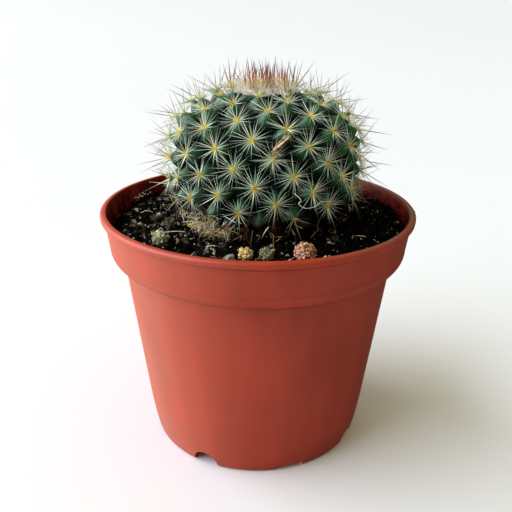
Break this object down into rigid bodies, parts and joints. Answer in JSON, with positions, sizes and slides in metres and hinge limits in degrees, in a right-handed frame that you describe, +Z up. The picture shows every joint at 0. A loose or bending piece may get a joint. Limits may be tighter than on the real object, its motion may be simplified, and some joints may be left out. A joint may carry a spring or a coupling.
{
  "type": "potted round cactus",
  "caption": "Small globular pincushion cactus with spined tubercles, standing in a soil-filled tapering plastic nursery pot with a lipped collar and notched foot.",
  "frame": {"origin": "on the ground under the middle of the pot", "axes": "+Z up along the pot's axis; the plant's best side faces -Y"},
  "size_m": [0.085, 0.085, 0.1065],
  "materials": {
    "pot_plastic": "satin terracotta-coloured moulding",
    "soil": "damp peat with fine pale grit",
    "plant_skin": "waxy blue-green skin with pale spines",
    "dry_petals": "withered and matt",
    "clay": "rough fired clay",
    "clod_moss": "crumbly with a pale mossy film",
    "clod_ochre": "crumbly",
    "clod_grey": "crumbly"
  },
  "bodies": {
    "root": {"pot": "pot_plastic", "soil": "soil", "cactus": "plant_skin", "dried_flower": "dry_petals", "clay_pebble": "clay", "mossy_clod": "clod_moss", "olive_clod": "clod_moss", "left_clod": "clod_moss", "ochre_clod": "clod_ochre", "grey_clod": "clod_grey"}
  },
  "joints": []
}
